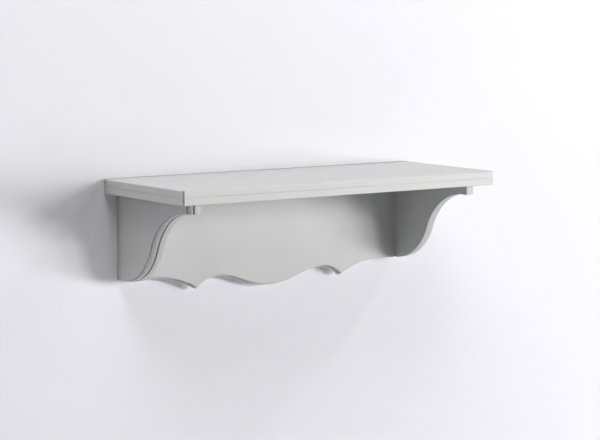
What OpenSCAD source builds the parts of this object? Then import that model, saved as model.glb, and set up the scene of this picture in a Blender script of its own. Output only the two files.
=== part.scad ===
// Wall shelf with two ogee brackets and a scalloped back panel, all in millimetres.
// The origin is on the wall, at the middle of the shelf and level with its top surface.
// +X runs to the right along the wall, +Y goes into the wall and +Z is up.

/* [Shelf board] */
// Overall length along the wall
shelf_length = 800; // [600:5:1200]
// Overall depth from the wall to the front edge
shelf_depth = 300; // [240:5:380]
// Height of the board and of the moulding round it
board_t = 30; // [24:0.5:40]
// Width of the solid wood moulding glued round the board
moulding_w = 22; // [18:1:30]

/* [Edge moulding profile] */
// Radius of the rounded top edge
top_edge_r = 3; // [1:0.5:5]
// How far the upper band stands back from the lower band
upper_band_setback = 0.9; // [0.5:0.1:2.5]
// Height of the lower band
lower_band_h = 14.5; // [10:0.5:16]
// Height of the fine groove between the two bands
band_groove_h = 0.9; // [0.5:0.1:1.5]
// Depth of that groove behind the upper band
band_groove_depth = 0.5; // [0.4:0.1:1.5]
// Radius of the rounded bottom edge
bottom_edge_r = 1; // [0.5:0.1:2]
// Width of the open V groove left at each mitre
mitre_groove_w = 6; // [1:0.5:7]
// Depth of that V groove along the mitre
mitre_groove_depth = 6; // [2:0.5:8]
// Chamfer at the rear end of the side mouldings, against the wall
wall_chamfer = 2; // [0.5:0.5:4]

/* [Brackets] */
// Thickness of each bracket
bracket_t = 25; // [22:0.5:35]
// Height of each bracket under the board
bracket_h = 182; // [150:0.5:220]
// Distance from the end of the shelf to the bracket's outer face
end_overhang = 31.5; // [25:0.5:60]
// Distance from the shelf's front edge to the front of the nose
front_overhang = 25.3; // [24:0.1:50]
// Height of the square nose under the board
nose_h = 21.5; // [20:0.5:30]
// Length of the level underside of the nose
nose_run = 12; // [4:1:25]
// Length of the flat foot, from the wall to where the curve begins
foot_l = 30; // [20:1:45]
// Radius of the upper, hollow curve
hollow_r = 129; // [100:1:150]
// Width of the flat band beside the inner face
flat_band_w = 13; // [11:0.5:14]
// Width of the quirk, the narrow groove between the flat band and the bead
quirk_w = 2; // [1.5:0.1:4]
// Depth of the quirk
quirk_depth = 5.8; // [3:0.1:8]
// How far the bead stands behind the flat band
bead_setback = 2; // [0.5:0.1:2.5]
// Width of the fillet beside the outer face
fillet_w = 2.7; // [1.5:0.1:4]
// How far the fillet stands behind the flat band
fillet_setback = 12.1; // [9:0.1:13]
// Slope at which the bands step back, up from level, in degrees
setback_slope = 5; // [3:1:12]

/* [Back panel] */
// Thickness of the panel
panel_t = 20; // [18:0.5:25]
// Gap between the panel and the wall
panel_gap = 12; // [5:0.5:20]
// Thickness of the front layer, above the proud lip
front_layer_t = 7.5; // [4:0.5:10]
// How far the lip stands below the front layer's edge
lip_h = 3.4; // [1:0.1:5]
// How far the middle lobe hangs below the brackets' feet, on the front layer
lobe_drop = 33; // [24:0.5:45]
// How far the crest of the inner arches is below the feet
inner_crest_drop = 4.3; // [0:0.1:8]
// How far the crest of the outer arches is above the feet
outer_crest_rise = 3.6; // [0:0.1:12]
// How far the cusps are below the feet
cusp_drop = 26.2; // [20:0.1:32]
// Distance from the centre to the inner arch's crest
inner_crest_x = 137; // [125:0.5:150]
// Distance from the centre to each cusp
cusp_x = 190.6; // [180:0.5:210]
// Distance from a bracket's inner face to the outer arch's crest
outer_crest_inset = 37.5; // [20:0.5:60]
// Radius of the middle lobe
lobe_r = 190; // [150:1:200]
// Radius of the inner arch on the lobe's side
inner_arch_r = 131; // [100:1:140]

/* [Dowels and splines] */
// Diameter of the beech dowels
dowel_d = 8; // [6:1:8]
// Length of the dowels
dowel_l = 35; // [30:1:35]
// Length of an upright dowel that sits in the board
dowel_in_board = 18; // [12:1:20]
// Length of a level dowel that sits in the bracket
dowel_in_bracket = 13; // [10:1:16]
// Distance from the wall to each bracket's rear dowel
rear_dowel_inset = 45; // [30:1:60]
// Distance between the upright dowels of a bracket
bracket_dowel_pitch = 85; // [60:1:88]
// Distance between the upright dowels of the panel
panel_dowel_pitch = 180; // [120:1:200]
// Distance from the board to the upper level dowel
upper_level_dowel_drop = 50; // [35:1:70]
// Distance between the two level dowels
level_dowel_pitch = 85; // [60:1:95]
// Thickness of the plywood splines
spline_t = 6; // [4:0.5:8]
// Width of the splines
spline_w = 16; // [12:1:20]
// Clearance round dowels and splines, on each side
glue_clearance = 0.05; // [0.02:0.01:0.2]
// Room for glue at the bottom of each dowel hole and spline groove
glue_well = 1; // [0.5:0.5:2]

/* [Keyhole hangers] */
// Width of the steel plate
plate_w = 16; // [14:0.5:18]
// Height of the plate
plate_h = 46; // [44:1:60]
// Thickness of the plate
plate_t = 1.6; // [1.2:0.1:2]
// Distance from the board to the middle of the plate
plate_drop = 50; // [40:1:90]
// Diameter of the hole that the wall screw's head goes through
keyhole_d = 9.6; // [8:0.2:10]
// Width of the slot that the wall screw's shank slides up
keyhole_slot_w = 4.6; // [4:0.1:5]
// Distance from the centre of the hole to the top centre of the slot
keyhole_travel = 10; // [8:0.5:12]
// Width of the pocket behind the plate for the wall screw's head
head_pocket_w = 11.6; // [11:0.2:13]
// Depth of that pocket behind the plate
head_pocket_depth = 8; // [6:0.5:14]
// Distance between the two screws that hold the plate
plate_screw_pitch = 36; // [35:0.5:50]
// Clearance round the plate in its recess
plate_clearance = 0.2; // [0.1:0.1:0.5]
// Thread diameter of the plate's screws
screw_d = 3.5; // [3:0.5:4]
// Head diameter of those screws
screw_head_d = 6.8; // [6:0.2:7.5]
// Length of those screws
screw_l = 16; // [12:1:20]

/* [Hidden] */

$fn = 96;
LEFT = -1;
RIGHT = 1;
UPPER = 1;
LOWER = -1;
REAR = 0;
MIDDLE = 1;
FRONT = 2;
OUTER = 3;
INNER = 1;
// Extra length that cutting shapes run past the material
over = 1;
// Size of cutting shapes that have to reach past everything
far = 400;
// How far an arc runs into the curve or flat that it meets
arc_lap = 0.02;

half_l = shelf_length / 2;
core_half_l = half_l - moulding_w;
core_depth = shelf_depth - moulding_w;
bracket_outer_x = half_l - end_overhang;
bracket_inner_x = bracket_outer_x - bracket_t;
bracket_mid_x = bracket_inner_x + bracket_t / 2;
nose_y = -(shelf_depth - front_overhang);
nose_z = -board_t - nose_h;
foot_z = -board_t - bracket_h;

// Radius of an arc that is level at one end and climbs rise over a length of run, in thousandths
function rise_radius(run, rise) = round(500 * (run ^ 2 + rise ^ 2) / rise) / 1000;

// The bracket's two curves are level at their outer ends and touch between them
curve_l = -nose_y - nose_run - foot_l;
curve_h = bracket_h - nose_h;
belly_r = rise_radius(curve_l, curve_h) - hollow_r + 2 * arc_lap;
hollow_c = [nose_y + nose_run, nose_z - hollow_r];
belly_c = [-foot_l, foot_z + belly_r - arc_lap];

// Heights of the panel's front layer, down from the board
lobe_h = bracket_h + lobe_drop;
inner_crest_h = bracket_h + inner_crest_drop;
outer_crest_h = bracket_h - outer_crest_rise;
cusp_h = bracket_h + cusp_drop;
panel_front_y = -panel_gap - panel_t;
panel_mid_y = -panel_gap - panel_t / 2;
outer_crest_x = bracket_inner_x - outer_crest_inset;
outer_arch_r = rise_radius(outer_crest_x - cusp_x, cusp_h - outer_crest_h);
cusp_arch_r = rise_radius(cusp_x - inner_crest_x, cusp_h - inner_crest_h);
lobe_c = [0, -board_t - lobe_h + lobe_r];
inner_arch_c = [inner_crest_x, -board_t - inner_crest_h - inner_arch_r];
cusp_arch_c = [inner_crest_x, -board_t - inner_crest_h - cusp_arch_r];
outer_arch_c = [outer_crest_x, -board_t - outer_crest_h - outer_arch_r];
// A straight run joins the lobe to the inner arch and touches both
lobe_to_arch = inner_arch_c - lobe_c;
run_slope = atan2(lobe_to_arch.x, -lobe_to_arch.y) - acos((lobe_r + inner_arch_r) / norm(lobe_to_arch));
run_normal = [sin(run_slope), -cos(run_slope)];
panel_bottom_z = -board_t - lobe_h - lip_h;

spline_z = -board_t / 2;
hanger_z = -board_t - plate_drop;
keyhole_z = hanger_z - keyhole_travel / 2;
timber = "gainsboro";
hidden_wood = "burlywood";
steel = "silver";

// Draws a 2D shape of (Y, Z) points and thickens it along X from x0
module across(x0, thickness) {
    translate([x0, 0, 0]) rotate([90, 0, 90]) linear_extrude(thickness) children();
}

// Draws a 2D shape of (X, Z) points and thickens it along Y from y0
module upright(y0, thickness) {
    translate([0, y0 + thickness, 0]) rotate([90, 0, 0]) linear_extrude(thickness) children();
}

// Section of the edge moulding: x is the distance in from the outside, y is height
module moulding_section() {
    difference() {
        translate([0, -board_t]) square([moulding_w, board_t]);
        translate([-over, lower_band_h - board_t])
            square([over + upper_band_setback, board_t - lower_band_h + over]);
        translate([0, lower_band_h - board_t])
            square([upper_band_setback + band_groove_depth, band_groove_h]);
        difference() {
            translate([upper_band_setback - over, -top_edge_r])
                square([top_edge_r + over, top_edge_r + over]);
            translate([upper_band_setback + top_edge_r, -top_edge_r]) circle(top_edge_r);
        }
        difference() {
            translate([-over, -board_t - over]) square(bottom_edge_r + over);
            translate([bottom_edge_r, bottom_edge_r - board_t]) circle(bottom_edge_r);
        }
    }
}

// Groove for half of a spline, in the same section, open at its inner edge
module spline_groove_section() {
    depth = spline_w / 2 + glue_well;
    translate([moulding_w - depth, spline_z - spline_t / 2 - glue_clearance])
        square([depth + over, spline_t + 2 * glue_clearance]);
}

// Corner where the front and right mouldings meet, the apex of its V groove and the joint's inner end
corner = [half_l, -shelf_depth];
groove_apex = corner + mitre_groove_depth / sqrt(2) * [-1, 1];
mitre_end = corner + moulding_w * [-1, 1];
groove_half_w = mitre_groove_w / sqrt(2);

// Takes the plan shape of (X, Y) points out of the full height of the board
module through_board() {
    translate([0, 0, -board_t - over]) linear_extrude(board_t + 2 * over) children();
}

module front_moulding() {
    color(timber) difference() {
        translate([-half_l, -shelf_depth, 0]) rotate([90, 0, 90]) linear_extrude(shelf_length)
            difference() {
                moulding_section();
                spline_groove_section();
            }
        for (side = [LEFT, RIGHT]) mirror([side == LEFT ? 1 : 0, 0, 0]) through_board()
            polygon([corner + [-groove_half_w, -over], corner + [over, -over],
                [half_l + over, mitre_end.y + over], mitre_end + [-over, over],
                groove_apex, corner + [-groove_half_w, 0]]);
    }
}

module end_moulding(side) {
    mirror([side == LEFT ? 1 : 0, 0, 0]) color(timber) difference() {
        translate([half_l, -shelf_depth, 0]) rotate([90, 0, 180]) linear_extrude(shelf_depth)
            difference() {
                moulding_section();
                spline_groove_section();
            }
        through_board() polygon([corner + [over, groove_half_w], corner + [0, groove_half_w],
            groove_apex, mitre_end + [-over, over], [mitre_end.x - over, -shelf_depth - over],
            corner + [over, -over]]);
        through_board() polygon([[half_l - wall_chamfer - over, over], [half_l + over, -wall_chamfer - over],
            [half_l + over, over]]);
    }
}

// Half of a spline sits in the board and half in the moulding
module front_spline() {
    color(hidden_wood) translate([-core_half_l, -core_depth - spline_w / 2, spline_z - spline_t / 2])
        cube([2 * core_half_l, spline_w, spline_t]);
}

module end_spline(side) {
    reach = core_depth - spline_w / 2 - glue_well;
    mirror([side == LEFT ? 1 : 0, 0, 0]) color(hidden_wood)
        translate([core_half_l - spline_w / 2, -reach, spline_z - spline_t / 2])
            cube([spline_w, reach - wall_chamfer, spline_t]);
}

// Where the middles of the dowels are
function bracket_dowel_y(place) = -rear_dowel_inset - place * bracket_dowel_pitch;
function panel_dowel_x(place) = place * panel_dowel_pitch / 2;
function level_dowel_z(level) =
    -board_t - upper_level_dowel_drop - (level == UPPER ? 0 : level_dowel_pitch);

// A dowel along Z, from z = 0 up, with a small chamfer at each end
module dowel() {
    chamfer = 1;
    r = dowel_d / 2;
    rotate_extrude() polygon([[0, 0], [r - chamfer, 0], [r, chamfer], [r, dowel_l - chamfer],
        [r - chamfer, dowel_l], [0, dowel_l]]);
}

// The hole for a dowel, with room for glue at each end
module dowel_hole() {
    translate([0, 0, -glue_well]) cylinder(h = dowel_l + 2 * glue_well, d = dowel_d + 2 * glue_clearance);
}

// Places an upright dowel or its hole between the board and what hangs under it
module at_upright(x, y) {
    translate([x, y, -board_t + dowel_in_board - dowel_l]) children();
}

// Places a level dowel or its hole between the panel and a bracket
module at_level(side, level) {
    translate([side * (bracket_inner_x + dowel_in_bracket - dowel_l), panel_mid_y, level_dowel_z(level)])
        rotate([0, side * 90, 0]) children();
}

module bracket_dowel(side, place) {
    color(hidden_wood) at_upright(side * bracket_mid_x, bracket_dowel_y(place)) dowel();
}

module panel_dowel(place) {
    color(hidden_wood) at_upright(panel_dowel_x(place), panel_mid_y) dowel();
}

module level_dowel(side, level) {
    color(hidden_wood) at_level(side, level) dowel();
}

module upright_dowel_holes() {
    for (side = [LEFT, RIGHT], place = [REAR, MIDDLE, FRONT])
        at_upright(side * bracket_mid_x, bracket_dowel_y(place)) dowel_hole();
    for (side = [LEFT, RIGHT], place = [INNER, OUTER])
        at_upright(panel_dowel_x(side * place), panel_mid_y) dowel_hole();
}

module level_dowel_holes() {
    for (side = [LEFT, RIGHT], level = [UPPER, LOWER]) at_level(side, level) dowel_hole();
}

module shelf_core() {
    groove = spline_w / 2 + glue_well;
    color(timber) difference() {
        translate([-core_half_l, -core_depth, -board_t]) cube([2 * core_half_l, core_depth, board_t]);
        translate([-half_l, -core_depth - over, spline_z - spline_t / 2 - glue_clearance])
            cube([shelf_length, groove + over, spline_t + 2 * glue_clearance]);
        for (side = [LEFT, RIGHT])
            translate([side * (core_half_l - groove / 2 + over / 2), -core_depth / 2 - wall_chamfer / 2, spline_z])
                cube([groove + over, core_depth - wall_chamfer, spline_t + 2 * glue_clearance], center = true);
        upright_dowel_holes();
    }
}

// Outline of a bracket whose moulded edge stands back by setback, as (Y, Z) points
module bracket_outline(setback) {
    rise = setback * tan(setback_slope);
    difference() {
        translate([nose_y + setback, foot_z + rise]) square([-nose_y - setback, bracket_h - rise]);
        translate([setback, rise]) {
            translate([nose_y - over, foot_z - over]) square([nose_run + over, curve_h + over]);
            translate(hollow_c) circle(hollow_r);
            difference() {
                polygon([belly_c, hollow_c, hollow_c - [0, far], [belly_c.x, foot_z - far]]);
                translate(belly_c) circle(belly_r);
            }
        }
    }
}

// The right bracket's hanger recess, screw head pocket and screw holes
module hanger_cuts() {
    translate([bracket_mid_x, 0, hanger_z]) {
        recess = [plate_w + 2 * plate_clearance, plate_t + over, plate_h + 2 * plate_clearance];
        translate([0, over / 2 - plate_t / 2, 0]) cube(recess, center = true);
        upright(-plate_t - head_pocket_depth, head_pocket_depth + over)
            for (end = [LOWER, UPPER]) translate([0, end * keyhole_travel / 2]) circle(d = head_pocket_w);
        translate([0, -plate_t - head_pocket_depth / 2 + over / 2, 0])
            cube([head_pocket_w, head_pocket_depth + over, keyhole_travel], center = true);
        for (end = [LOWER, UPPER])
            translate([0, -screw_l - over, end * plate_screw_pitch / 2]) rotate([-90, 0, 0])
                cylinder(h = screw_l + 2 * over, d = screw_d + 2 * glue_clearance);
    }
}

module bracket(side) {
    mirror([side == LEFT ? 1 : 0, 0, 0]) color(timber) difference() {
        union() {
            across(bracket_inner_x, flat_band_w) bracket_outline(0);
            across(bracket_inner_x, bracket_t - fillet_w) bracket_outline(quirk_depth);
            across(bracket_inner_x + flat_band_w + quirk_w, bracket_t - fillet_w - flat_band_w - quirk_w)
                bracket_outline(bead_setback);
            across(bracket_inner_x, bracket_t) bracket_outline(fillet_setback);
        }
        hanger_cuts();
        upright_dowel_holes();
        level_dowel_holes();
    }
}

// What is cut away under the right half of the panel, where grow lowers the edge by that much
module panel_waste(grow) {
    low = panel_bottom_z - over;
    run_from = lobe_c + (lobe_r + grow) * run_normal;
    run_to = inner_arch_c - (inner_arch_r - grow) * run_normal;
    difference() {
        translate([0, low]) square([run_from.x, lobe_c.y - low]);
        translate(lobe_c) circle(lobe_r + grow);
    }
    polygon([run_from, run_to, [run_to.x, low], [run_from.x, low]]);
    intersection() {
        translate(inner_arch_c) circle(inner_arch_r - grow);
        translate([run_from.x, low]) square([inner_crest_x - run_from.x, far]);
    }
    intersection() {
        translate(cusp_arch_c) circle(cusp_arch_r - grow);
        translate([inner_crest_x, low]) square(far);
    }
    translate(outer_arch_c) circle(outer_arch_r - grow);
}

// A layer of the panel, from y0 towards the wall, with its edge lowered by grow
module panel_layer(y0, thickness, grow) {
    difference() {
        translate([-bracket_inner_x, y0, -board_t - lobe_h - grow])
            cube([2 * bracket_inner_x, thickness, lobe_h + grow]);
        for (side = [LEFT, RIGHT]) mirror([side == LEFT ? 1 : 0, 0, 0])
            upright(y0 - over, thickness + 2 * over) panel_waste(grow);
    }
}

module back_panel() {
    color(timber) difference() {
        union() {
            panel_layer(panel_front_y, panel_t, 0);
            panel_layer(panel_front_y + front_layer_t, panel_t - front_layer_t, lip_h);
        }
        upright_dowel_holes();
        level_dowel_holes();
    }
}

// A keyhole plate lies flush with the bracket's rear edge
module keyhole_plate(side) {
    corner_r = 3;
    sink = screw_head_d / 2 + glue_clearance;
    translate([side * bracket_mid_x, 0, hanger_z]) color(steel) difference() {
        upright(-plate_t, plate_t) difference() {
            union() {
                square([plate_w - 2 * corner_r, plate_h], center = true);
                square([plate_w, plate_h - 2 * corner_r], center = true);
                for (x = [LEFT, RIGHT], z = [LOWER, UPPER])
                    translate([x * (plate_w / 2 - corner_r), z * (plate_h / 2 - corner_r)]) circle(corner_r);
            }
            translate([0, -keyhole_travel / 2]) circle(d = keyhole_d);
            translate([0, keyhole_travel / 2]) circle(d = keyhole_slot_w);
            square([keyhole_slot_w, keyhole_travel], center = true);
        }
        for (end = [LOWER, UPPER])
            translate([0, 0, end * plate_screw_pitch / 2]) rotate([90, 0, 0])
                rotate_extrude() polygon([[0, -over], [sink + over, -over], [sink - plate_t, plate_t],
                    [sink - plate_t, plate_t + over], [0, plate_t + over]]);
    }
}

// A countersunk screw with a cross recess, its head flush with the plate
module plate_screw(side, level) {
    head_r = screw_head_d / 2;
    neck = head_r - screw_d / 2;
    tip = 3;
    recess_l = 3.6;
    recess_w = 0.9;
    recess_depth = 1.4;
    translate([side * bracket_mid_x, 0, hanger_z + level * plate_screw_pitch / 2]) color(steel)
        rotate([90, 0, 0]) difference() {
            rotate_extrude() polygon([[0, 0], [head_r, 0], [screw_d / 2, neck], [screw_d / 2, screw_l - tip],
                [0, screw_l]]);
            for (turn = [0, 90]) rotate([0, 0, turn])
                cube([recess_l, recess_w, 2 * recess_depth], center = true);
        }
}

module left_moulding() end_moulding(LEFT);
module right_moulding() end_moulding(RIGHT);
module left_spline() end_spline(LEFT);
module right_spline() end_spline(RIGHT);
module left_bracket() bracket(LEFT);
module right_bracket() bracket(RIGHT);

shelf_core();
front_moulding();
left_moulding();
right_moulding();
front_spline();
left_spline();
right_spline();
left_bracket();
right_bracket();
back_panel();
bracket_dowel(LEFT, REAR);  // left_bracket_dowel_rear
bracket_dowel(LEFT, MIDDLE);  // left_bracket_dowel_middle
bracket_dowel(LEFT, FRONT);  // left_bracket_dowel_front
bracket_dowel(RIGHT, REAR);  // right_bracket_dowel_rear
bracket_dowel(RIGHT, MIDDLE);  // right_bracket_dowel_middle
bracket_dowel(RIGHT, FRONT);  // right_bracket_dowel_front
panel_dowel(LEFT * OUTER);  // panel_dowel_outer_left
panel_dowel(LEFT * INNER);  // panel_dowel_inner_left
panel_dowel(RIGHT * INNER);  // panel_dowel_inner_right
panel_dowel(RIGHT * OUTER);  // panel_dowel_outer_right
level_dowel(LEFT, UPPER);  // left_level_dowel_upper
level_dowel(LEFT, LOWER);  // left_level_dowel_lower
level_dowel(RIGHT, UPPER);  // right_level_dowel_upper
level_dowel(RIGHT, LOWER);  // right_level_dowel_lower
keyhole_plate(LEFT);  // left_keyhole_plate
keyhole_plate(RIGHT);  // right_keyhole_plate
plate_screw(LEFT, UPPER);  // left_plate_screw_upper
plate_screw(LEFT, LOWER);  // left_plate_screw_lower
plate_screw(RIGHT, UPPER);  // right_plate_screw_upper
plate_screw(RIGHT, LOWER);  // right_plate_screw_lower
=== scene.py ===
"""Wall shelf with two ogee brackets and a scalloped back panel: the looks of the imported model.

All lengths are in metres. The origin is on the wall, at the middle of the shelf and level with
its top surface. +X runs to the right along the wall, +Y goes into the wall and +Z is up.
"""

import math

import bmesh
import bpy
from mathutils import Matrix, Vector


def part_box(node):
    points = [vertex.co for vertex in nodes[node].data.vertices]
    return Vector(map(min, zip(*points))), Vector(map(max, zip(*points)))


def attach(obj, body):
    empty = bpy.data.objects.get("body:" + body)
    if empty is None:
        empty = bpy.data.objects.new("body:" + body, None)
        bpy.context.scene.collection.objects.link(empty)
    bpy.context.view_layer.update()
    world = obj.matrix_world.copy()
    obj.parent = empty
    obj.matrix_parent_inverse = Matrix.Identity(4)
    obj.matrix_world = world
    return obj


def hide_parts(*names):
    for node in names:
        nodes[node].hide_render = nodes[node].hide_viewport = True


for spare in ("Cube", "Light", "Camera"):
    if spare in bpy.data.objects:
        bpy.data.objects.remove(bpy.data.objects[spare])

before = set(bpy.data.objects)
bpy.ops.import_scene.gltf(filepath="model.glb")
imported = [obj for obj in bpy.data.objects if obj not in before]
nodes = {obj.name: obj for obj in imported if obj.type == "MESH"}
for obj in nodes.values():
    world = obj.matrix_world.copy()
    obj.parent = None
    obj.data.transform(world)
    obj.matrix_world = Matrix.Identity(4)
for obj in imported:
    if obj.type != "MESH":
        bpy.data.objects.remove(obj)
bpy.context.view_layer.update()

# Softened arrises and the paint that fills the inner corners
ARRIS = 0.0006
PAINT_FILLET = 0.0004

# Brackets
NOSE_H = 0.0215
NOSE_RUN = 0.012
FOOT_L = 0.030
HOLLOW_R = 0.129
FLAT_BAND_W = 0.013
QUIRK_W = 0.002
QUIRK_DEPTH = 0.0058
BEAD_SETBACK = 0.002
BEAD_FALL = 0.0022
FILLET_W = 0.0027
FILLET_SETBACK = 0.0121
SETBACK_SLOPE = math.radians(5)

# Back panel
FRONT_LAYER_T = 0.0075
LIP_H = 0.0033
LOBE_DROP = 0.033
INNER_CREST_DROP = 0.0043
OUTER_CREST_RISE = 0.0036
CUSP_DROP = 0.0262
INNER_CREST_X = 0.137
CUSP_X = 0.1906
OUTER_CREST_INSET = 0.0375
LOBE_R = 0.190
INNER_ARCH_R = 0.131

# Recess for a hanger and the pocket for the wall screw's head behind it
PLATE_CLEARANCE = 0.0002
HEAD_POCKET_W = 0.0116
HEAD_POCKET_DEPTH = 0.008
KEYHOLE_TRAVEL = 0.010

# Corners sharper than this stay crisp
CRISP_ANGLE = math.radians(32)
# How far in from an arris the skin of a flat face starts
FACE_START = 0.004

# A ray shorter than this starts on something that touches the wall
TOUCHING = 0.016

# Backdrops, and the point that every light turns to
FLOOR_Z = -1.4
WALL_TOP_Z = 2.6
BACKDROP_HALF_W = 4
FLOOR_FRONT_Y = -5
FLOOR_REAR_Y = 3
LIGHT_AIM = Vector((0, 0, -0.1))


# ---------------------------------------------------------------- shapes

def arc_radius(run, rise):
    """Radius of an arc that is level at one end and climbs rise over a length of run."""
    return (run ** 2 + rise ** 2) / (2 * rise)


def steps(start, end, count):
    """count + 1 evenly spaced values from start to end."""
    return [start + (end - start) * i / count for i in range(count + 1)]


def round_corners(corners):
    """A path of 2D points through corners of (x, y, radius, segments), each turned into an arc."""
    path = []
    for i, (x, y, radius, segments) in enumerate(corners):
        here = Vector((x, y))
        if radius == 0:
            path.append(here)
            continue
        before = (Vector(corners[i - 1][:2]) - here).normalized()
        after = (Vector(corners[i + 1][:2]) - here).normalized()
        half = before.angle(after) / 2
        centre = here + (before + after).normalized() * radius / math.sin(half)
        start = here + before * radius / math.tan(half) - centre
        end = here + after * radius / math.tan(half) - centre
        for turn in steps(0, 1, segments):
            path.append(centre + start.slerp(end, turn).normalized() * radius)
    return path


def skin(name, rings):
    """A closed mesh object through rings of 3D points that all have the same number of points."""
    mesh = bmesh.new()
    loops = [[mesh.verts.new(p) for p in ring] for ring in rings]
    for low, high in zip(loops, loops[1:]):
        for i in range(len(low)):
            mesh.faces.new((low[i - 1], low[i], high[i], high[i - 1]))
    mesh.faces.new(loops[0])
    mesh.faces.new(loops[-1])
    bmesh.ops.recalc_face_normals(mesh, faces=mesh.faces)
    return finished_object(name, mesh)


def finished_object(name, mesh):
    """Turns a bmesh into a shaded object whose corners stay crisp."""
    data = bpy.data.meshes.new(name)
    mesh.to_mesh(data)
    mesh.free()
    data.shade_smooth()
    data.set_sharp_from_angle(angle=CRISP_ANGLE)
    made = bpy.data.objects.new(name, data)
    bpy.context.scene.collection.objects.link(made)
    return made


def cut(piece, cutters):
    """Takes the cutters out of the piece and removes them."""
    for cutter in cutters:
        difference = piece.modifiers.new("recess", "BOOLEAN")
        difference.operation = "DIFFERENCE"
        difference.solver = "EXACT"
        difference.object = cutter
    graph = bpy.context.evaluated_depsgraph_get()
    data = bpy.data.meshes.new_from_object(piece.evaluated_get(graph))
    piece.modifiers.clear()
    piece.data = data
    data.set_sharp_from_angle(angle=CRISP_ANGLE)
    for cutter in cutters:
        bpy.data.objects.remove(cutter)


# ---------------------------------------------------------------- brackets

right_low, right_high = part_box("right_bracket")
bracket_inner_x, bracket_outer_x = right_low.x, right_high.x
bracket_t = bracket_outer_x - bracket_inner_x
nose_y, foot_z, board_bottom_z = right_low.y, right_low.z, right_high.z
nose_z = board_bottom_z - NOSE_H

curve_l = -nose_y - NOSE_RUN - FOOT_L
curve_h = nose_z - foot_z
belly_r = arc_radius(curve_l, curve_h) - HOLLOW_R
hollow_c = Vector((nose_y + NOSE_RUN, nose_z - HOLLOW_R))
belly_c = Vector((-FOOT_L, foot_z + belly_r))
curve_turn = math.atan2(belly_c.x - hollow_c.x, belly_c.y - hollow_c.y)


def bracket_outline(setback):
    """Closed outline of a bracket as (y, z), with its moulded edge standing back by setback."""
    shift = Vector((setback, setback * math.tan(SETBACK_SLOPE)))
    points = [Vector((nose_y, nose_z)) + shift]
    for turn in steps(0, curve_turn, 48):
        points.append(hollow_c + shift + HOLLOW_R * Vector((math.sin(turn), math.cos(turn))))
    for turn in steps(curve_turn, 0, 48)[1:]:
        points.append(belly_c + shift - belly_r * Vector((math.sin(turn), math.cos(turn))))
    return ([Vector((nose_y + setback, board_bottom_z))] + points
            + [Vector((0, foot_z + shift.y)), Vector((0, board_bottom_z))])


def bracket_edge_profile():
    """The moulded edge as (distance from the inner face, setback): band, quirk, bead and fillet."""
    bead_from = FLAT_BAND_W + QUIRK_W
    bead_to = bracket_t - FILLET_W
    bead_r = arc_radius(bead_to - bead_from, BEAD_FALL)
    bead_turn = math.asin((bead_to - bead_from) / bead_r)
    bead = [Vector((bead_from + bead_r * math.sin(turn), BEAD_SETBACK + bead_r * (1 - math.cos(turn))))
            for turn in steps(0, bead_turn, 12)]
    band = round_corners([
        (0, FACE_START, 0, 0),
        (0, 0, ARRIS, 3),
        (FLAT_BAND_W, 0, ARRIS, 3),
        (FLAT_BAND_W, QUIRK_DEPTH, PAINT_FILLET, 2),
        (bead_from, QUIRK_DEPTH, PAINT_FILLET, 2),
        (bead_from, BEAD_SETBACK + ARRIS, 0, 0)])
    fillet = round_corners([
        (bead_to, FILLET_SETBACK - 0.002, 0, 0),
        (bead_to, FILLET_SETBACK, PAINT_FILLET, 2),
        (bracket_t, FILLET_SETBACK, ARRIS, 3),
        (bracket_t, FILLET_SETBACK + FACE_START, 0, 0)])
    return band + bead[1:] + fillet


def hanger_recess(side):
    """Cutters for the plate's recess and for the pocket behind it."""
    low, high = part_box("right_keyhole_plate")
    grow = Vector((PLATE_CLEARANCE, 0, PLATE_CLEARANCE))
    low, high = low - grow, high + grow
    centre = (low + high) / 2
    rise = KEYHOLE_TRAVEL / 2
    half_w = HEAD_POCKET_W / 2
    recess = [(low.x, low.z), (high.x, low.z), (high.x, high.z), (low.x, high.z)]
    pocket = [(centre.x + half_w * math.cos(a), centre.z + rise + half_w * math.sin(a))
              for a in steps(0, math.pi, 20)]
    pocket += [(centre.x - half_w * math.cos(a), centre.z - rise - half_w * math.sin(a))
               for a in steps(0, math.pi, 20)]
    bottom = low.y - HEAD_POCKET_DEPTH
    return [skin("recess_cutter", [[Vector((side * x, y, z)) for x, z in shape] for y in (depth, 0.001)])
            for shape, depth in ((recess, low.y), (pocket, bottom))]


def make_bracket(side, name):
    """A routed and painted bracket that stands for the CAD node of that name."""
    rings = [[Vector((side * (bracket_inner_x + x), p.x, p.y)) for p in bracket_outline(inset)]
             for x, inset in bracket_edge_profile()]
    piece = skin("painted_" + name, rings)
    cut(piece, hanger_recess(side))
    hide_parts(name)
    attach(piece, "root")
    return piece


# ---------------------------------------------------------------- back panel

panel_low, panel_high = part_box("back_panel")
panel_t = panel_high.y - panel_low.y
lobe_c = Vector((0, foot_z - LOBE_DROP + LOBE_R))
inner_crest = Vector((INNER_CREST_X, foot_z - INNER_CREST_DROP))
outer_crest = Vector((bracket_inner_x - OUTER_CREST_INSET, foot_z + OUTER_CREST_RISE))
cusp_z = foot_z - CUSP_DROP
cusp_arch_r = arc_radius(CUSP_X - inner_crest.x, inner_crest.y - cusp_z)
outer_arch_r = arc_radius(outer_crest.x - CUSP_X, outer_crest.y - cusp_z)
inner_arch_c = inner_crest - Vector((0, INNER_ARCH_R))
cusp_arch_c = inner_crest - Vector((0, cusp_arch_r))
outer_arch_c = outer_crest - Vector((0, outer_arch_r))
lobe_to_arch = inner_arch_c - lobe_c
run_slope = (math.atan2(lobe_to_arch.x, -lobe_to_arch.y)
             - math.acos((LOBE_R + INNER_ARCH_R) / lobe_to_arch.length))


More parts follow.
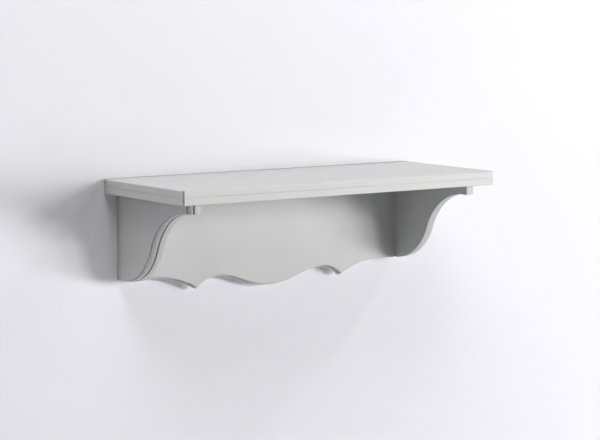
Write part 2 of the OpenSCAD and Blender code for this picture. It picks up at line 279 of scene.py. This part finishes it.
def cusp(grow):
    """Where the two arches beside a cusp meet, with the edge lowered by grow."""
    near_r, far_r = cusp_arch_r - grow, outer_arch_r - grow
    across = outer_arch_c - cusp_arch_c
    along = (across.length ** 2 + near_r ** 2 - far_r ** 2) / (2 * across.length)
    off = math.sqrt(near_r ** 2 - along ** 2)
    unit = across.normalized()
    return cusp_arch_c + along * unit + off * Vector((-unit.y, unit.x))


def scallops(grow):
    """Right half of the panel's lower edge as (x, z), from the middle outwards."""
    tip = cusp(grow)
    inner_r, near_r, far_r = INNER_ARCH_R - grow, cusp_arch_r - grow, outer_arch_r - grow
    points = [lobe_c + (LOBE_R + grow) * Vector((math.sin(t), -math.cos(t)))
              for t in steps(0, run_slope, 24)]
    points += [inner_arch_c + inner_r * Vector((-math.sin(t), math.cos(t)))
               for t in steps(run_slope, 0, 24)]
    points += [cusp_arch_c + near_r * Vector((math.sin(t), math.cos(t)))
               for t in steps(0, math.asin((tip.x - cusp_arch_c.x) / near_r), 20)[1:]]
    points += [outer_arch_c + far_r * Vector((math.sin(t), math.cos(t)))
               for t in steps(math.asin((tip.x - outer_arch_c.x) / far_r),
                              math.asin((bracket_inner_x - outer_arch_c.x) / far_r), 40)[1:]]
    return points


def make_back_panel():
    """The panel with its thin front layer and the lip that stands below it."""
    profile = round_corners([
        (0, -FACE_START, 0, 0),
        (0, 0, ARRIS, 3),
        (FRONT_LAYER_T, 0, PAINT_FILLET, 2),
        (FRONT_LAYER_T, LIP_H, ARRIS, 3),
        (panel_t, LIP_H, ARRIS, 3),
        (panel_t, LIP_H - FACE_START, 0, 0)])
    rings = []
    for depth, grow in profile:
        half = scallops(grow)
        edge = [Vector((-p.x, p.y)) for p in reversed(half[1:])] + half
        edge += [Vector((bracket_inner_x, board_bottom_z)), Vector((-bracket_inner_x, board_bottom_z))]
        rings.append([Vector((p.x, panel_low.y + depth, p.y)) for p in edge])
    piece = skin("painted_back_panel", rings)
    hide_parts("back_panel")
    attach(piece, "root")
    return piece


# ---------------------------------------------------------------- materials

def new_group(name, inputs, outputs):
    """A shader node group with named inputs (name, kind, value) and outputs (name, kind)."""
    group = bpy.data.node_groups.new(name, "ShaderNodeTree")
    for socket, kind, value in inputs:
        made = group.interface.new_socket(socket, in_out="INPUT", socket_type=kind)
        if value is not None:
            made.default_value = value
    for socket, kind in outputs:
        group.interface.new_socket(socket, in_out="OUTPUT", socket_type=kind)
    return group, group.nodes.new("NodeGroupInput"), group.nodes.new("NodeGroupOutput")


def node(tree, kind, values=None, **settings):
    """A node with its settings and its unlinked input values."""
    made = tree.nodes.new(kind)
    for key, value in settings.items():
        setattr(made, key, value)
    for key, value in (values or {}).items():
        made.inputs[key].default_value = value
    return made


def link(tree, *pairs):
    """Links each pair of output and input sockets."""
    for source, target in pairs:
        tree.links.new(source, target)


def worn_edges_group():
    """Mask of the outer edges, broken up so that the wear isn't even."""
    group, given, result = new_group(
        "worn_edges",
        [("Width", "NodeSocketFloat", 0.001), ("Break-up Scale", "NodeSocketFloat", 60.0)],
        [("Mask", "NodeSocketFloat")])
    place = node(group, "ShaderNodeTexCoord")
    flat = node(group, "ShaderNodeNewGeometry")
    softened = node(group, "ShaderNodeBevel", samples=4)
    compare = node(group, "ShaderNodeVectorMath", operation="DOT_PRODUCT")
    edge = node(group, "ShaderNodeMapRange", {"From Min": 0.995, "From Max": 0.80})
    patches = node(group, "ShaderNodeTexNoise", {"Detail": 4.0, "Roughness": 0.6})
    sparse = node(group, "ShaderNodeMapRange", {"From Min": 0.42, "From Max": 0.66})
    worn = node(group, "ShaderNodeMath", operation="MULTIPLY", use_clamp=True)
    link(group,
         (given.outputs["Width"], softened.inputs["Radius"]),
         (softened.outputs["Normal"], compare.inputs[0]),
         (flat.outputs["Normal"], compare.inputs[1]),
         (compare.outputs["Value"], edge.inputs["Value"]),
         (place.outputs["Object"], patches.inputs["Vector"]),
         (given.outputs["Break-up Scale"], patches.inputs["Scale"]),
         (patches.outputs["Fac"], sparse.inputs["Value"]),
         (edge.outputs["Result"], worn.inputs[0]),
         (sparse.outputs["Result"], worn.inputs[1]),
         (worn.outputs["Value"], result.inputs["Mask"]))
    return group


def mottle_group():
    """Slow, cloudy change of tone over a surface, from 0 to 1."""
    group, given, result = new_group(
        "mottle", [("Scale", "NodeSocketFloat", 8.0), ("Detail", "NodeSocketFloat", 4.0)],
        [("Value", "NodeSocketFloat")])
    place = node(group, "ShaderNodeTexCoord")
    clouds = node(group, "ShaderNodeTexNoise", {"Roughness": 0.55})
    spread = node(group, "ShaderNodeMapRange", {"From Min": 0.3, "From Max": 0.7})
    link(group,
         (place.outputs["Object"], clouds.inputs["Vector"]),
         (given.outputs["Scale"], clouds.inputs["Scale"]),
         (given.outputs["Detail"], clouds.inputs["Detail"]),
         (clouds.outputs["Fac"], spread.inputs["Value"]),
         (spread.outputs["Result"], result.inputs["Value"]))
    return group


def grain_group():
    """Fine streaks along one axis, from 0 to 1: Stretch is the scale along each axis."""
    group, given, result = new_group(
        "streaks",
        [("Stretch", "NodeSocketVector", (10.0, 300.0, 300.0)), ("Waviness", "NodeSocketFloat", 0.4)],
        [("Value", "NodeSocketFloat")])
    place = node(group, "ShaderNodeTexCoord")
    stretched = node(group, "ShaderNodeVectorMath", operation="MULTIPLY")
    streaks = node(group, "ShaderNodeTexNoise", {"Scale": 1.0, "Detail": 5.0, "Roughness": 0.62})
    spread = node(group, "ShaderNodeMapRange", {"From Min": 0.28, "From Max": 0.72})
    link(group,
         (place.outputs["Object"], stretched.inputs[0]),
         (given.outputs["Stretch"], stretched.inputs[1]),
         (stretched.outputs["Vector"], streaks.inputs["Vector"]),
         (given.outputs["Waviness"], streaks.inputs["Distortion"]),
         (streaks.outputs["Fac"], spread.inputs["Value"]),
         (spread.outputs["Result"], result.inputs["Value"]))
    return group


WORN_EDGES = worn_edges_group()
MOTTLE = mottle_group()
STREAKS = grain_group()


def place_group(tree, group, **values):
    """Places a node group in a material, with its own values."""
    made = node(tree, "ShaderNodeGroup", node_tree=group)
    for key, value in values.items():
        made.inputs[key.replace("_", " ").replace("Break up", "Break-up")].default_value = value
    return made


def new_material(name, **surface):
    """A material with a Principled surface: returns the material, its tree and the surface node."""
    material = bpy.data.materials.new(name)
    material.use_nodes = True
    tree = material.node_tree
    shader = tree.nodes["Principled BSDF"]
    for key, value in surface.items():
        shader.inputs[key.replace("_", " ")].default_value = value
    return material, tree, shader


def mix_colour(tree, factor, low, high):
    """A colour mix between two colours or colour sockets; returns its output."""
    mix = node(tree, "ShaderNodeMix", data_type="RGBA")
    tree.links.new(factor, mix.inputs["Factor"])
    for name, colour in (("A", low), ("B", high)):
        socket = next(s for s in mix.inputs if s.name == name and s.type == "RGBA")
        if isinstance(colour, bpy.types.NodeSocket):
            tree.links.new(colour, socket)
        else:
            socket.default_value = (*colour, 1.0)
    return next(s for s in mix.outputs if s.type == "RGBA")


def spread_value(tree, source, low, high):
    """Maps a mask from 0 to 1 onto low to high."""
    spread = node(tree, "ShaderNodeMapRange", {"To Min": low, "To Max": high})
    tree.links.new(source, spread.inputs["Value"])
    return spread.outputs["Result"]


def painted_wood():
    """Satin grey paint over wood: sprayed texture, faint brush drag and edges rubbed lighter."""
    material, tree, shader = new_material("painted_wood", Specular_IOR_Level=0.5)
    clouds = place_group(tree, MOTTLE, Scale=7.0, Detail=3.0)
    drag = place_group(tree, STREAKS, Stretch=(9.0, 420.0, 420.0), Waviness=0.15)
    rubbed = place_group(tree, WORN_EDGES, Width=0.0011, Break_up_Scale=45.0)
    place = node(tree, "ShaderNodeTexCoord")
    peel = node(tree, "ShaderNodeTexNoise", {"Scale": 900.0, "Detail": 2.0, "Roughness": 0.5})
    tone = mix_colour(tree, clouds.outputs["Value"], (0.560, 0.563, 0.556), (0.590, 0.592, 0.584))
    brushed = mix_colour(tree, spread_value(tree, drag.outputs["Value"], 0.0, 0.35),
                         tone, (0.610, 0.612, 0.604))
    colour = mix_colour(tree, spread_value(tree, rubbed.outputs["Mask"], 0.0, 0.5),
                        brushed, (0.71, 0.71, 0.70))
    gloss = spread_value(tree, clouds.outputs["Value"], 0.36, 0.46)
    peel_bump = node(tree, "ShaderNodeBump", {"Strength": 0.10, "Distance": 0.00025})
    drag_bump = node(tree, "ShaderNodeBump", {"Strength": 0.05, "Distance": 0.0003})
    link(tree,
         (place.outputs["Object"], peel.inputs["Vector"]),
         (peel.outputs["Fac"], peel_bump.inputs["Height"]),
         (drag.outputs["Value"], drag_bump.inputs["Height"]),
         (peel_bump.outputs["Normal"], drag_bump.inputs["Normal"]),
         (drag_bump.outputs["Normal"], shader.inputs["Normal"]),
         (colour, shader.inputs["Base Color"]),
         (gloss, shader.inputs["Roughness"]))
    return material


def turned_beech():
    """Bare beech for the dowels: pale pinkish wood with short dark flecks."""
    material, tree, shader = new_material("beech", Specular_IOR_Level=0.35)
    grain = place_group(tree, STREAKS, Stretch=(500.0, 500.0, 30.0), Waviness=0.6)
    clouds = place_group(tree, MOTTLE, Scale=60.0, Detail=3.0)
    place = node(tree, "ShaderNodeTexCoord")
    stretched = node(tree, "ShaderNodeVectorMath", operation="MULTIPLY")
    stretched.inputs[1].default_value = (900.0, 900.0, 160.0)
    flecks = node(tree, "ShaderNodeTexVoronoi", {"Scale": 1.0})
    dark = node(tree, "ShaderNodeMapRange", {"From Min": 0.22, "From Max": 0.08})
    wood = mix_colour(tree, grain.outputs["Value"], (0.56, 0.37, 0.22), (0.70, 0.50, 0.33))
    toned = mix_colour(tree, spread_value(tree, clouds.outputs["Value"], 0.0, 0.4),
                       wood, (0.62, 0.41, 0.26))
    colour = mix_colour(tree, spread_value(tree, dark.outputs["Result"], 0.0, 0.55),
                        toned, (0.33, 0.18, 0.09))
    bump = node(tree, "ShaderNodeBump", {"Strength": 0.25, "Distance": 0.0002})
    link(tree,
         (place.outputs["Object"], stretched.inputs[0]),
         (stretched.outputs["Vector"], flecks.inputs["Vector"]),
         (flecks.outputs["Distance"], dark.inputs["Value"]),
         (grain.outputs["Value"], bump.inputs["Height"]),
         (bump.outputs["Normal"], shader.inputs["Normal"]),
         (colour, shader.inputs["Base Color"]),
         (spread_value(tree, grain.outputs["Value"], 0.62, 0.5), shader.inputs["Roughness"]))
    return material


def birch_plywood():
    """Bare plywood for the splines: plies of two tones across the thickness, and grain along it."""
    material, tree, shader = new_material("plywood", Specular_IOR_Level=0.3)
    grain = place_group(tree, STREAKS, Stretch=(25.0, 25.0, 700.0), Waviness=0.8)
    clouds = place_group(tree, MOTTLE, Scale=30.0, Detail=4.0)
    place = node(tree, "ShaderNodeTexCoord")
    plies = node(tree, "ShaderNodeTexWave", {"Scale": 105.0, "Distortion": 0.3}, bands_direction="Z")
    layer = node(tree, "ShaderNodeMapRange", {"From Min": 0.4, "From Max": 0.6})
    face = mix_colour(tree, grain.outputs["Value"], (0.64, 0.49, 0.31), (0.76, 0.62, 0.43))
    toned = mix_colour(tree, spread_value(tree, clouds.outputs["Value"], 0.0, 0.3),
                       face, (0.60, 0.45, 0.28))
    colour = mix_colour(tree, spread_value(tree, layer.outputs["Result"], 0.0, 0.5),
                        toned, (0.42, 0.28, 0.16))
    bump = node(tree, "ShaderNodeBump", {"Strength": 0.2, "Distance": 0.0002})
    link(tree,
         (place.outputs["Object"], plies.inputs["Vector"]),
         (plies.outputs["Fac"], layer.inputs["Value"]),
         (grain.outputs["Value"], bump.inputs["Height"]),
         (bump.outputs["Normal"], shader.inputs["Normal"]),
         (colour, shader.inputs["Base Color"]),
         (spread_value(tree, grain.outputs["Value"], 0.7, 0.6), shader.inputs["Roughness"]))
    return material


def zinc_plated_steel():
    """Bright zinc on steel: rolling lines, cloudy passivation and polished edges."""
    material, tree, shader = new_material("zinc_plated_steel", Metallic=1.0)
    rolling = place_group(tree, STREAKS, Stretch=(1500.0, 1500.0, 60.0), Waviness=0.2)
    clouds = place_group(tree, MOTTLE, Scale=120.0, Detail=3.0)
    polished = place_group(tree, WORN_EDGES, Width=0.0004, Break_up_Scale=400.0)
    tone = mix_colour(tree, clouds.outputs["Value"], (0.56, 0.57, 0.58), (0.68, 0.68, 0.66))
    colour = mix_colour(tree, polished.outputs["Mask"], tone, (0.80, 0.80, 0.79))
    bump = node(tree, "ShaderNodeBump", {"Strength": 0.15, "Distance": 0.00005})
    link(tree,
         (rolling.outputs["Value"], bump.inputs["Height"]),
         (bump.outputs["Normal"], shader.inputs["Normal"]),
         (colour, shader.inputs["Base Color"]),
         (spread_value(tree, rolling.outputs["Value"], 0.28, 0.42), shader.inputs["Roughness"]))
    return material


def seen_from_front_only(tree, shader):
    """Lets rays through the back of a backdrop, and lets light from behind reach what touches it."""
    side = node(tree, "ShaderNodeNewGeometry")
    path = node(tree, "ShaderNodeLightPath")
    touching = node(tree, "ShaderNodeMath", {1: TOUCHING}, operation="LESS_THAN")
    either = node(tree, "ShaderNodeMath", operation="MAXIMUM")
    clear = node(tree, "ShaderNodeBsdfTransparent")
    choose = node(tree, "ShaderNodeMixShader")
    link(tree,
         (path.outputs["Ray Length"], touching.inputs[0]),
         (side.outputs["Backfacing"], either.inputs[0]),
         (touching.outputs["Value"], either.inputs[1]),
         (either.outputs["Value"], choose.inputs["Fac"]),
         (shader.outputs["BSDF"], choose.inputs[1]),
         (clear.outputs["BSDF"], choose.inputs[2]),
         (choose.outputs["Shader"], tree.nodes["Material Output"].inputs["Surface"]))


def rolled_wall():
    """Matt wall paint with the soft stipple of a roller."""
    material, tree, shader = new_material("wall_paint", Roughness=0.9, Specular_IOR_Level=0.2)
    clouds = place_group(tree, MOTTLE, Scale=1.6, Detail=3.0)
    place = node(tree, "ShaderNodeTexCoord")
    stipple = node(tree, "ShaderNodeTexNoise", {"Scale": 130.0, "Detail": 3.0, "Roughness": 0.6})
    colour = mix_colour(tree, clouds.outputs["Value"], (0.800, 0.795, 0.825), (0.815, 0.810, 0.840))
    bump = node(tree, "ShaderNodeBump", {"Strength": 0.12, "Distance": 0.0006})
    link(tree,
         (place.outputs["Object"], stipple.inputs["Vector"]),
         (stipple.outputs["Fac"], bump.inputs["Height"]),
         (bump.outputs["Normal"], shader.inputs["Normal"]),
         (colour, shader.inputs["Base Color"]))
    seen_from_front_only(tree, shader)
    return material


def pale_floor():
    """Plain pale floor with a slight change of tone."""
    material, tree, shader = new_material("floor_paint", Roughness=0.8, Specular_IOR_Level=0.2)
    clouds = place_group(tree, MOTTLE, Scale=1.2, Detail=3.0)
    link(tree, (mix_colour(tree, clouds.outputs["Value"], (0.74, 0.74, 0.75), (0.77, 0.77, 0.78)),
                shader.inputs["Base Color"]))
    seen_from_front_only(tree, shader)
    return material


# ---------------------------------------------------------------- light and camera

def backdrop(name, corners, material):
    """A flat backdrop through four corners, seen from the side that they turn to."""
    mesh = bmesh.new()
    mesh.faces.new([mesh.verts.new(c) for c in corners])
    data = bpy.data.meshes.new(name)
    mesh.to_mesh(data)
    mesh.free()
    data.materials.append(material)
    made = bpy.data.objects.new(name, data)
    bpy.context.scene.collection.objects.link(made)
    return made


def soft_light(name, turn, rise, distance, size, power):
    """A square soft box, placed by its angle to the right of straight ahead and its height angle."""
    turn, rise = math.radians(turn), math.radians(rise)
    place = distance * Vector((math.sin(turn) * math.cos(rise), -math.cos(turn) * math.cos(rise),
                               math.sin(rise)))
    data = bpy.data.lights.new(name, "AREA")
    data.shape = "SQUARE"
    data.size = size
    data.energy = power
    made = bpy.data.objects.new(name, data)
    made.location = place
    made.rotation_euler = (LIGHT_AIM - place).to_track_quat("-Z", "Y").to_euler()
    bpy.context.scene.collection.objects.link(made)
    return made


def set_camera():
    """A long lens, to the left of the shelf and slightly above it."""
    data = bpy.data.cameras.new("camera")
    data.lens = 122.65
    data.sensor_width = 36
    made = bpy.data.objects.new("camera", data)
    heading, tilt, roll = math.radians(36.1716), math.radians(6.504), math.radians(0.276)
    turn = (Matrix.Rotation(-heading, 4, "Z") @ Matrix.Rotation(math.pi / 2 - tilt, 4, "X")
            @ Matrix.Rotation(roll, 4, "Z"))
    made.matrix_world = Matrix.Translation((-2.5370, -3.6062, 0.3929)) @ turn
    bpy.context.scene.collection.objects.link(made)
    bpy.context.scene.camera = made


def set_world(colour, strength):
    """Even light from all round."""
    world = bpy.data.worlds.new("room_light")
    world.use_nodes = True
    sky = world.node_tree.nodes["Background"]
    sky.inputs["Color"].default_value = (*colour, 1.0)
    sky.inputs["Strength"].default_value = strength
    bpy.context.scene.world = world


PAINTED = painted_wood()
FINISHES = {
    "painted_wood": PAINTED,
    "beech": turned_beech(),
    "plywood": birch_plywood(),
    "zinc_plated_steel": zinc_plated_steel(),
}

for name, item in nodes.items():
    for index, slot_material in enumerate(item.data.materials):
        item.material_slots[index].material = FINISHES[slot_material.name.split(".")[0]]

for piece in (make_bracket(-1, "left_bracket"), make_bracket(1, "right_bracket"), make_back_panel()):
    piece.data.materials.clear()
    piece.data.materials.append(PAINTED)

wall_paint = rolled_wall()
floor_paint = pale_floor()
backdrop("wall", [(-BACKDROP_HALF_W, 0, FLOOR_Z), (BACKDROP_HALF_W, 0, FLOOR_Z),
                  (BACKDROP_HALF_W, 0, WALL_TOP_Z), (-BACKDROP_HALF_W, 0, WALL_TOP_Z)], wall_paint)
backdrop("floor", [(-BACKDROP_HALF_W, FLOOR_FRONT_Y, FLOOR_Z), (BACKDROP_HALF_W, FLOOR_FRONT_Y, FLOOR_Z),
                   (BACKDROP_HALF_W, FLOOR_REAR_Y, FLOOR_Z), (-BACKDROP_HALF_W, FLOOR_REAR_Y, FLOOR_Z)],
         floor_paint)

soft_light("key_light_right", 60, -4, 8.0, 1.6, 170)
soft_light("key_light_middle", 45, 0, 8.0, 1.6, 150)
soft_light("key_light_left", 28, 9, 8.0, 1.6, 215)
soft_light("ceiling_light", -45, 60, 4.0, 2.6, 102)
soft_light("left_fill", -72, 10, 4.0, 2.6, 15)
soft_light("edge_light", 60, 44, 3.0, 0.25, 14)
soft_light("rear_light", 180, 0, 3.0, 0.4, 45)
set_world((1, 1, 1), 0.005)
set_camera()
bpy.context.scene.view_settings.view_transform = "Standard"
bpy.context.scene.view_settings.gamma = 0.8
